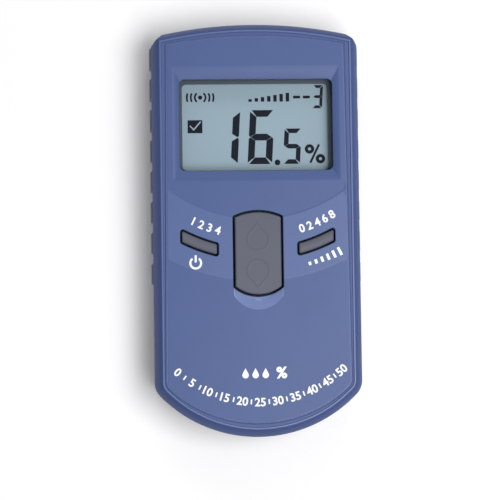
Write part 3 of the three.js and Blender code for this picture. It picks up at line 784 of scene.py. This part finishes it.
def on_ring(part, cy, radius, angle, upright=True):
    """A part on an arc that is open to the top, upright or along the arc."""
    turn = angle if upright else angle + math.pi / 2
    return placed(part, radius * math.sin(angle), cy - radius * math.cos(angle), turn)


def gather(name, parts, lift):
    """One object of several flat parts, each laid on a surface."""
    verts = []
    faces = []
    for part_verts, part_faces in parts:
        first = len(verts)
        verts += [(x, y, z + lift(x, y)) for x, y, z in part_verts]
        faces += [tuple(first + k for k in f) for f in part_faces]
    return new_object(name, verts, faces)


def ring_part(radius, width, start=0.0, end=2 * math.pi, steps=40):
    """A ring, or a piece of one, as a thin plate."""
    whole = end - start > 2 * math.pi - 0.001
    sections = steps if whole else steps + 1
    verts = []
    for i in range(sections):
        angle = start + (end - start) * i / steps
        for r, z in ((1, 1), (-1, 1), (-1, -1), (1, -1)):
            reach = radius + r * width / 2
            verts.append((reach * math.cos(angle), reach * math.sin(angle), z * PLATE / 2))
    faces = []
    for i in range(steps):
        a = 4 * i
        b = 4 * ((i + 1) % sections)
        for k in range(4):
            faces.append((a + k, b + k, b + (k + 1) % 4, a + (k + 1) % 4))
    if not whole:
        faces.append((0, 1, 2, 3))
        faces.append(tuple(4 * steps + k for k in (3, 2, 1, 0)))
    return verts, faces


def bar_part(length, width):
    """A bar along x as a thin plate."""
    return slab(rounded_rect(-length / 2, length / 2, -width / 2, width / 2, 0.12, 3))


def power_symbol(x, y, radius=1.87, width=0.72, gap=0.62, bar=2.5, rise=1.45):
    """A ring that is open at the top, with a bar in the opening."""
    return [
        placed(ring_part(radius, width, math.pi / 2 + gap, 2.5 * math.pi - gap), x, y),
        placed(bar_part(bar, width), x, y + rise, math.pi / 2),
    ]


def drop_part(size, tip=2.15, steps=24):
    """A drop that points up: a circle with two tangents to its tip."""
    half = math.pi - math.acos(1 / tip)
    points = arc(0, 0, size, -math.pi / 2 - half, -math.pi / 2 + half, steps)
    points.append((size * math.cos(half - math.pi / 2), size * math.sin(half - math.pi / 2)))
    points.append((0, tip * size))
    return slab(points)


DIGIT = {"1": "bc", "3": "abcdg", "5": "acdfg", "6": "acdefg"}


def segment_outlines(width, height, stroke, gap):
    """The seven mitred segments of a digit whose lower left corner is at 0, 0."""
    middle = height / 2
    half = stroke / 2
    chop = stroke * 0.2
    top = [
        (gap + chop, height), (width - gap - chop, height),
        (width - stroke - gap, height - stroke), (stroke + gap, height - stroke),
    ]
    upper_left = [
        (0, height - gap - chop), (stroke, height - stroke - gap),
        (stroke, middle + half + gap), (chop, middle + gap), (0, middle + gap + chop),
    ]
    bar = [
        (chop + gap, middle), (stroke, middle + half), (width - stroke, middle + half),
        (width - chop - gap, middle), (width - stroke, middle - half), (stroke, middle - half),
    ]

    def flip_x(points):
        return [(width - x, y) for x, y in points]

    def flip_y(points):
        return [(x, height - y) for x, y in points]

    return {
        "a": top, "d": flip_y(top), "g": bar, "f": upper_left, "b": flip_x(upper_left),
        "e": flip_y(upper_left), "c": flip_x(flip_y(upper_left)),
    }


def digit_parts(digit, x, y, width, height, stroke, gap=0.09, shear=0.06):
    """A seven-segment digit whose lower left corner is at x, y."""
    outlines = segment_outlines(width, height, stroke, gap)
    return [
        placed(slab([(u + shear * v, v) for u, v in outlines[name]]), x, y)
        for name in DIGIT[digit]
    ]


# ---- Materials ----


def srgb(r, g, b):
    """An 8-bit display colour as linear light."""
    def channel(v):
        v /= 255
        return v / 12.92 if v <= 0.04045 else ((v + 0.055) / 1.055) ** 2.4

    return (channel(r), channel(g), channel(b), 1)


def new_material(name):
    """A material with its nodes, its links and its Principled shader."""
    material = bpy.data.materials.new(name)
    material.use_nodes = True
    nodes = material.node_tree.nodes
    return material, nodes, material.node_tree.links, nodes["Principled BSDF"]


def noise(nodes, links, scale, detail=2):
    """The value of a noise in the object's own coordinates."""
    where = nodes.new("ShaderNodeTexCoord")
    texture = nodes.new("ShaderNodeTexNoise")
    texture.inputs["Scale"].default_value = scale
    texture.inputs["Detail"].default_value = detail
    links.new(where.outputs["Object"], texture.inputs["Vector"])
    return texture.outputs["Fac"]


def blend(nodes, links, value, dark, light, target):
    """Leads a colour between dark and light into a socket."""
    tint = nodes.new("ShaderNodeMix")
    tint.data_type = "RGBA"
    tint.inputs["A"].default_value = (*dark, 1)
    tint.inputs["B"].default_value = (*light, 1)
    links.new(value, tint.inputs["Factor"])
    links.new(tint.outputs["Result"], target)


def between(nodes, links, value, low, high, target):
    """Leads a number between low and high into a socket."""
    span = nodes.new("ShaderNodeMapRange")
    span.inputs["To Min"].default_value = low
    span.inputs["To Max"].default_value = high
    links.new(value, span.inputs["Value"])
    links.new(span.outputs["Result"], target)


def moulded(name, colour, roughness, grain=0.35, grain_scale=5200, bump=0.05, mottle=0.06, gloss=0.5):
    """Moulded plastic: a fine spark-eroded grain, with a faint cloudiness in colour and sheen."""
    material, nodes, links, shader = new_material(name)
    fine = noise(nodes, links, grain_scale)
    broad = noise(nodes, links, 60, 4)
    dark = [c * (1 - mottle) for c in colour[:3]]
    light = [min(1, c * (1 + mottle)) for c in colour[:3]]
    blend(nodes, links, broad, dark, light, shader.inputs["Base Color"])
    between(nodes, links, fine, roughness - 0.05, roughness + 0.05, shader.inputs["Roughness"])
    relief = nodes.new("ShaderNodeBump")
    relief.inputs["Strength"].default_value = grain
    relief.inputs["Distance"].default_value = bump * MM
    links.new(fine, relief.inputs["Height"])
    links.new(relief.outputs["Normal"], shader.inputs["Normal"])
    shader.inputs["Specular IOR Level"].default_value = gloss
    return material


def metal(name, colour, roughness):
    """Plated or bare metal with an uneven tone and sheen."""
    material, nodes, links, shader = new_material(name)
    fine = noise(nodes, links, 900, 3)
    blend(nodes, links, fine, [c * 0.85 for c in colour], colour, shader.inputs["Base Color"])
    between(nodes, links, fine, roughness * 0.7, roughness * 1.3, shader.inputs["Roughness"])
    shader.inputs["Metallic"].default_value = 1
    return material


def clear_window(name, straight_on=0.006, grazing=0.5):
    """A clear sheet: what is behind it, and a reflection that grows with the angle."""
    material, nodes, links, shader = new_material(name)
    nodes.remove(shader)
    out = next(node for node in nodes if node.type == "OUTPUT_MATERIAL")
    mix = nodes.new("ShaderNodeMixShader")
    through = nodes.new("ShaderNodeBsdfTransparent")
    through.inputs["Color"].default_value = (0.97, 0.98, 0.98, 1)
    gloss = nodes.new("ShaderNodeBsdfGlossy")
    between(nodes, links, noise(nodes, links, 300), 0.01, 0.06, gloss.inputs["Roughness"])
    angle = nodes.new("ShaderNodeLayerWeight")
    rise = nodes.new("ShaderNodeMath")
    rise.operation = "POWER"
    rise.inputs[1].default_value = 5
    links.new(angle.outputs["Facing"], rise.inputs[0])
    between(nodes, links, rise.outputs["Value"], straight_on, grazing, mix.inputs["Fac"])
    links.new(through.outputs["BSDF"], mix.inputs[1])
    links.new(gloss.outputs["BSDF"], mix.inputs[2])
    links.new(mix.outputs["Shader"], out.inputs["Surface"])
    return material


# ---- Scene ----

LOOKS = {
    "case": moulded("case_blue", srgb(74, 92, 140), 0.42, gloss=0.25),
    # Painted shade: the slope's darker blue stands in for the shade on the sides that face away from the
    # lamps; its finish is also more matte.
    "side_painted_shade": moulded("side_painted_shade_blue", srgb(57, 76, 129), 0.5, gloss=0.15),
    # Painted sheen: the band's lighter blue stands in for the sheen the band catches; its finish is also a
    # little smoother.
    "band_painted_sheen": moulded("band_painted_sheen_blue", srgb(81, 99, 147), 0.4, gloss=0.3),
    # Painted light: the scoop's lighter blue stands in for the light on the thumb scoop's lit face.
    "scoop_painted_light": moulded("scoop_painted_light_blue", srgb(108, 124, 170), 0.36, gloss=0.35),
    # Painted highlight: the lighter blue of the rim and bead stands in for the highlights on their rounded
    # edges; they are also glossier.
    "edge_painted_highlight": moulded("edge_painted_highlight_blue", srgb(84, 102, 151), 0.33, gloss=0.45),
    "rear": moulded("rear_blue_grey", srgb(118, 121, 143), 0.5, gloss=0.3),
    "key": moulded("key_grey", srgb(90, 92, 106), 0.5, grain=0.5, gloss=0.25),
    "pad": moulded("pad_black", srgb(38, 40, 46), 0.55, grain=0.4),
    "lcd": moulded("lcd_grey", srgb(165, 182, 196), 0.45, grain=0.1, mottle=0.03, gloss=0.2),
    # Partly painted shade: the frame lip is a real part, and its dark grey also stands in for the shade in
    # the window's recess.
    "frame": moulded("lcd_frame_painted_shade_grey", srgb(60, 73, 88), 0.55),
    "ink": moulded("lcd_ink", srgb(17, 20, 36), 0.5, grain=0.1, gloss=0.1),
    "print": moulded("legend_white", srgb(240, 242, 246), 0.5, grain=0.2, mottle=0.02),
    "zebra": moulded("contact_rubber", srgb(45, 45, 48), 0.8),
    "board": moulded("board_green", srgb(24, 84, 48), 0.4, grain=0.2),
    "chip": moulded("component_black", srgb(30, 31, 33), 0.5),
    "foam": moulded("foam_grey", srgb(52, 54, 60), 0.95, grain=1.0, grain_scale=1500, bump=0.3),
    "jacket": moulded("battery_jacket", srgb(34, 42, 54), 0.25, grain=0.1),
    "red": moulded("wire_red", srgb(170, 34, 28), 0.4),
    "black": moulded("wire_black", srgb(24, 24, 26), 0.4),
    "steel": metal("plated_steel", (0.62, 0.63, 0.65), 0.3),
    "copper": metal("copper_foil", (0.75, 0.42, 0.26), 0.35),
    "clear": clear_window("clear_acrylic"),
}

NODE_LOOKS = {
    "rear_cover": "rear", "battery_door": "rear", "display_window": "clear", "lcd_front_glass": "clear",
    "lcd_rear_glass": "lcd", "lcd_frame": "frame", "zebra_strip_upper": "zebra",
    "zebra_strip_lower": "zebra", "main_pcb": "board", "sensor_pad": "pad",
    "sensor_electrode_inner": "copper", "sensor_electrode_outer": "copper", "battery": "jacket",
    "battery_foam_pad": "foam", "battery_lead_red": "red", "battery_lead_black": "black",
    "snap_connector": "black", "supply_capacitor": "jacket",
}
METAL_PARTS = ("screw", "spring", "terminal", "snap_contact", "crystal")


def dress(obj, look):
    """Gives an object one material."""
    if not obj.material_slots:
        obj.data.materials.append(LOOKS[look])
        return
    for slot in obj.material_slots:
        slot.link = "OBJECT"
        slot.material = LOOKS[look]


def node_look(node):
    """The look of a CAD node, by its name."""
    if node in NODE_LOOKS:
        return NODE_LOOKS[node]
    if any(word in node for word in METAL_PARTS):
        return "steel"
    return "chip"


def merge_flats(obj):
    """Dissolves flat faces. A CAD node's faces share no points, so this only takes slivers away.

    It leaves slits in rear_cover and battery_door.
    """
    merge = obj.modifiers.new("merge_flats", "DECIMATE")
    merge.decimate_type = "DISSOLVE"
    merge.angle_limit = math.radians(1.0)


def dress_nodes():
    """Gives every CAD node its look."""
    for node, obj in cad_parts.items():
        dress(obj, node_look(node))
        merge_flats(obj)


def stand_in(obj, look, body, node):
    """Puts a piece in a CAD node's place, with that node's finish."""
    if look:
        dress(obj, look)
    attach(obj, body)
    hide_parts(node)


def across_ring(x, y):
    """Where a point lies across a side key, from -1 at its upper edge to 1 at its lower one."""
    middle = (KEY_RING["inner"] + KEY_RING["outer"]) / 2
    return (math.hypot(x, y - KEY_RING["cy"]) - middle) / (KEY_RING["outer"] - middle)


def along_rocker(x, y):
    """Where a point lies along the rocker, from -1 at its lower end to 1 at its upper one."""
    low = ROCKER["bottom"] - ROCKER["bottom_rise"]
    high = ROCKER["top"] + ROCKER["top_rise"]
    return (2 * y - low - high) / (high - low)


def make_keys():
    """The three keys, each eased a little inside its CAD outline."""
    for side, node in ((-1, "mode_key"), (1, "density_key")):
        outline = round_corners(moved_in(side_key_outline(side), CAP_EASE), 0.5)
        stand_in(make_key(f"{node}_cap", outline, across_ring, **SIDE_KEY_CAP), "key", node, node)
    outline = round_corners(moved_in(rocker_outline(), CAP_EASE), 0.45, sharper_than=0.3)
    rocker = make_key("rocker_key_cap", outline, along_rocker, **ROCKER_CAP, lines=DROPS)
    stand_in(rocker, "key", "rocker_key", "rocker_key")


def laid_on(name, look, parts, lift):
    """Flat parts laid on a surface as one piece of the case."""
    obj = gather(name, parts, lift)
    dress(obj, look)
    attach(obj, "case")


def print_on_panel(name, parts):
    """White print that follows the front cover."""
    laid_on(name, "print", parts, lambda x, y: cover_z(x, y) + PRINT_LIFT)


def ink_on_lcd(name, parts):
    """Dark segments on the display."""
    laid_on(name, "ink", parts, lambda x, y: LCD_Z)


def spread(count, start, end):
    """Evenly spaced values from start to end."""
    return [start + (end - start) * i / (count - 1) for i in range(count)]


LEGEND = {"size": 4.0, "bold": 0.1}
KEY_NUMBERS = {"mode_numbers": ("1234", -0.46, -0.28), "level_numbers": ("02468", 0.31, 0.54)}
KEY_NUMBERS_R = 50.35
LEVEL_BARS = {"length": 1.2, "longer": 0.36, "width": 0.95, "count": 6}
LEVEL_BARS_ARC = {"r": 62.9, "start": 0.29, "end": 0.47}
SCALE_ARC = {"cy": -17.1, "r": 43.1, "end": 0.72, "top": 50, "step": 5, "mark": (1.7, 0.5)}
POWER_PLACE = (-21.75, -11.8)
DROP_MARKS = {"size": 1.12, "x": (-5.0, -1.5, 2.0), "y": -50.85}
PERCENT_MARK = {"size": 5.3, "bold": 0.2, "place": (7.6, -50.1)}


def texts_on_ring(texts, cy, radius, angles):
    """Texts around an arc that is open to the top."""
    return [on_ring(glyph_mesh(t, **LEGEND), cy, radius, angle) for t, angle in zip(texts, angles)]


def rising_bars(length, longer, width, count):
    """Bars of one width, each longer than the last."""
    return [bar_part(length + longer * i, width) for i in range(count)]


def print_key_legends():
    """The numbers over the side keys, the power symbol and the bars under the right key."""
    cy = KEY_RING["cy"]
    for name, (digits, start, end) in KEY_NUMBERS.items():
        angles = spread(len(digits), start, end)
        print_on_panel(name, texts_on_ring(digits, cy, KEY_NUMBERS_R, angles))
    print_on_panel("power_symbol", power_symbol(*POWER_PLACE))
    angles = spread(LEVEL_BARS["count"], LEVEL_BARS_ARC["start"], LEVEL_BARS_ARC["end"])
    print_on_panel("level_bars", [
        on_ring(bar, cy, LEVEL_BARS_ARC["r"], angle, upright=False)
        for bar, angle in zip(rising_bars(**LEVEL_BARS), angles)
    ])


def print_scale():
    """The scale along the panel's lower edge, with the drops and the percent sign above it."""
    cy = SCALE_ARC["cy"]
    radius = SCALE_ARC["r"]
    numbers = [str(n) for n in range(0, SCALE_ARC["top"] + 1, SCALE_ARC["step"])]
    angles = spread(len(numbers), -SCALE_ARC["end"], SCALE_ARC["end"])
    half_step = (angles[1] - angles[0]) / 2
    print_on_panel("scale_numbers", texts_on_ring(numbers, cy, radius, angles))
    print_on_panel("scale_marks", [
        on_ring(bar_part(*SCALE_ARC["mark"]), cy, radius, angle + half_step, upright=False)
        for angle in angles[:-1]
    ])
    drops = [placed(drop_part(DROP_MARKS["size"]), x, DROP_MARKS["y"]) for x in DROP_MARKS["x"]]
    percent = glyph_mesh("%", PERCENT_MARK["size"], PERCENT_MARK["bold"])
    print_on_panel("drop_symbol", [*drops, placed(percent, *PERCENT_MARK["place"])])


def percent_parts(x, y, height):
    """A percent sign of two rings and a slanting bar, centred at x, y."""
    ring = ring_part(0.165 * height, 0.17 * height)
    lean = math.radians(64)
    return [
        placed(ring, x - 0.27 * height, y + 0.25 * height),
        placed(ring, x + 0.3 * height, y - 0.27 * height),
        placed(bar_part(1.08 * height, 0.115 * height), x, y, lean),
    ]


POINT = {"r": 1.02, "place": (7.75, 23.75)}
DASH = (2.5, 0.95)
DASH_PLACES = ((14.85, 46.85), (18.3, 46.85))
TICK_PLACE = (-21.15, 36.6)
TICK = [(-1.9, 0.15), (-0.45, -1.45), (2.2, 1.7), (1.8, 1.85), (-0.45, -0.75), (-1.65, 0.45)]
TICK_BOX = (-2.6, 2.6, -2.3, 2.3)
WAVES = {"radii": (1.9, 3.3, 4.7), "half_height": 1.5, "width": 0.64, "dot": 0.75, "place": (-19.2, 46.9)}
LCD_BARS = {"length": 0.9, "longer": 0.36, "width": 1.2, "count": 7}
LCD_BARS_ROW = {"x": -1.6, "pitch": 2.2, "y": 45.75, "rise": 0.18}


def dot_part(radius, steps):
    """A disc as a thin plate."""
    return slab(arc(0, 0, radius, 0, 2 * math.pi, steps))


def wave_parts():
    """Waves to both sides of a dot."""
    parts = []
    for radius in WAVES["radii"]:
        half = math.asin(WAVES["half_height"] / radius)
        for middle in (0, math.pi):
            wave = ring_part(radius, WAVES["width"], middle - half, middle + half, 14)
            parts.append(placed(wave, *WAVES["place"]))
    parts.append(placed(dot_part(WAVES["dot"], 16), *WAVES["place"]))
    return parts


def draw_display():
    """The display's segments and symbols."""
    ink_on_lcd("lcd_reading", [
        *digit_parts("1", -13.9, 23.1, 7.6, 19.1, 2.45),
        *digit_parts("6", -2.8, 23.2, 8.65, 19.1, 2.35),
        *digit_parts("5", 9.7, 23.2, 6.0, 12.5, 1.6, gap=0.07),
    ])
    ink_on_lcd("lcd_point", [placed(dot_part(POINT["r"], 24), *POINT["place"])])
    ink_on_lcd("lcd_percent", percent_parts(20.95, 26.75, 6.7))
    ink_on_lcd("lcd_level", [
        *digit_parts("3", 20.3, 42.85, 3.5, 8.2, 1.0, gap=0.05),
        *[placed(bar_part(*DASH), *place) for place in DASH_PLACES],
    ])
    ink_on_lcd("lcd_tick_box", [placed(slab(rounded_rect(*TICK_BOX, 0.15, 3)), *TICK_PLACE)])
    laid_on("lcd_tick", "lcd", [placed(slab(TICK), *TICK_PLACE)], lambda x, y: LCD_Z + TICK_LIFT)
    ink_on_lcd("lcd_scan_symbol", wave_parts())
    row = LCD_BARS_ROW
    ink_on_lcd("lcd_level_bars", [
        placed(bar, row["x"] + row["pitch"] * i, row["y"] + row["rise"] * i, math.pi / 2)
        for i, bar in enumerate(rising_bars(**LCD_BARS))
    ])


def cover_look(x, y):
    """The front cover's look at a point: painted shade on the slope, painted highlight on rim and bead,
    painted sheen on the band, painted light in the scoop.
    """
    inset = cover.inset(x, y)
    in_panel = panel.inset(x, y)
    if cut_inset(x, y) < EDGE_ROWS[-1] or inset < SLOPE_WIDTH:
        return "side_painted_shade"
    if inset < RIM_IN or -BEAD["foot"] < in_panel < EDGE_R:
        return "edge_painted_highlight"
    if scoop_amount(x, y) > 0:
        return "scoop_painted_light"
    if band_amount(x, y) > 0.5 and in_panel > 0:
        return "band_painted_sheen"
    return "case"


def colour_cover(obj):
    """Gives each face of the front cover the look of its middle."""
    looks = ("case", "side_painted_shade", "edge_painted_highlight", "band_painted_sheen", "scoop_painted_light")
    for look in looks:
        obj.data.materials.append(LOOKS[look])
    for face in obj.data.polygons:
        face.material_index = looks.index(cover_look(face.center.x / MM, face.center.y / MM))


def make_sheets():
    """The window and the two glasses of the display, each a flat sheet with eased edges."""
    lens_x = WINDOW["x"] + LAP
    lens_y = (WINDOW["low"] - LAP, WINDOW["high"] + LAP)
    lens = rounded_rect(-lens_x, lens_x, *lens_y, LENS["corner"])
    glass_x = GLASS["reach"]
    front = rounded_rect(-glass_x, glass_x, *GLASS["front"], GLASS["corner"])
    rear = rounded_rect(-glass_x, glass_x, *GLASS["rear"], GLASS["corner"])
    for node, look, outline, top, low in (
        ("display_window", "clear", lens, LENS["top"], LENS["low"]),
        ("lcd_front_glass", "clear", front, *FRONT_GLASS_Z),
        ("lcd_rear_glass", "lcd", rear, *REAR_GLASS_Z),
    ):
        edge = outside_polygon(outline)
        loops = [moved_in(outline, inset) for inset in (0.03, 0.08, SHEET_EDGE_R)]
        sheet = sheet_solid(
            f"{node}_sheet", outline, lambda x, y: top - edge_round(-edge(x, y), SHEET_EDGE_R),
            lambda x, y: low, (), loops,
        )
        stand_in(sheet, look, "case", node)


dress_nodes()
cover_piece = make_front_cover()
colour_cover(cover_piece)
stand_in(cover_piece, None, "case", "front_cover")
make_sheets()
make_keys()
print_key_legends()
print_scale()
draw_display()

# ---- Camera, lights and floor ----

TARGET = Vector((-2.834, -7.457, 27)) * MM
CAMERA_DISTANCE = 0.7013
CAMERA_TILT = (-0.0576, -0.0535)
CAMERA_ROLL = math.radians(-0.82)
VIEW_WIDTH = 0.1737


def place_camera():
    """A long lens a little off the front's axis."""
    direction = Vector((*CAMERA_TILT, 1)).normalized()
    right = Vector((0, 1, 0)).cross(direction).normalized()
    turn = Matrix.Rotation(CAMERA_ROLL, 3, direction)
    right = turn @ right
    up = direction.cross(right)
    data = bpy.data.cameras.new("camera")
    data.type = "PERSP"
    data.sensor_width = 36
    data.lens = data.sensor_width * CAMERA_DISTANCE / VIEW_WIDTH
    camera = bpy.data.objects.new("camera", data)
    bpy.context.collection.objects.link(camera)
    axes = Matrix((right, up, direction)).transposed().to_4x4()
    camera.matrix_world = Matrix.Translation(TARGET + direction * CAMERA_DISTANCE) @ axes
    bpy.context.scene.camera = camera


def area_light(name, place, size, power):
    """A soft rectangular light that faces the meter."""
    data = bpy.data.lights.new(name, "AREA")
    data.shape = "RECTANGLE"
    data.size, data.size_y = size
    data.energy = power
    obj = bpy.data.objects.new(name, data)
    bpy.context.collection.objects.link(obj)
    obj.location = place
    obj.rotation_euler = (-Vector(place)).to_track_quat("-Z", "Y").to_euler()


LIGHTS = {
    "overhead": {"place": (0.22, -0.13, 0.75), "size": (0.6, 0.34), "power": 5.3},
    "top": {"place": (-0.1, 0.75, 0.6), "size": (0.8, 0.3), "power": 1.7},
}
WORLD_STRENGTH = 0.3
FLOOR_REACH = 4
FLOOR_COLOUR = (0.96, 0.96, 0.96, 1)


def light_studio():
    """Two soft lights and an even surround."""
    for name, light in LIGHTS.items():
        area_light(name, **light)
    world = bpy.data.worlds.new("studio")
    world.use_nodes = True
    background = world.node_tree.nodes["Background"]
    background.inputs["Color"].default_value = (1, 1, 1, 1)
    background.inputs["Strength"].default_value = WORLD_STRENGTH
    bpy.context.scene.world = world
    bpy.context.scene.view_settings.view_transform = "Standard"


def lay_floor():
    """A plain pale floor under the meter."""
    material, _, _, shader = new_material("floor_white")
    shader.inputs["Base Color"].default_value = FLOOR_COLOUR
    shader.inputs["Roughness"].default_value = 0.9
    mesh = bpy.data.meshes.new("floor")
    corners = [(x * FLOOR_REACH, y * FLOOR_REACH, 0) for x, y in ((-1, -1), (1, -1), (1, 1), (-1, 1))]
    mesh.from_pydata(corners, [], [(0, 1, 2, 3)])
    floor = bpy.data.objects.new("floor", mesh)
    bpy.context.collection.objects.link(floor)
    mesh.materials.append(material)


place_camera()
light_studio()
lay_floor()

bpy.context.view_layer.update()
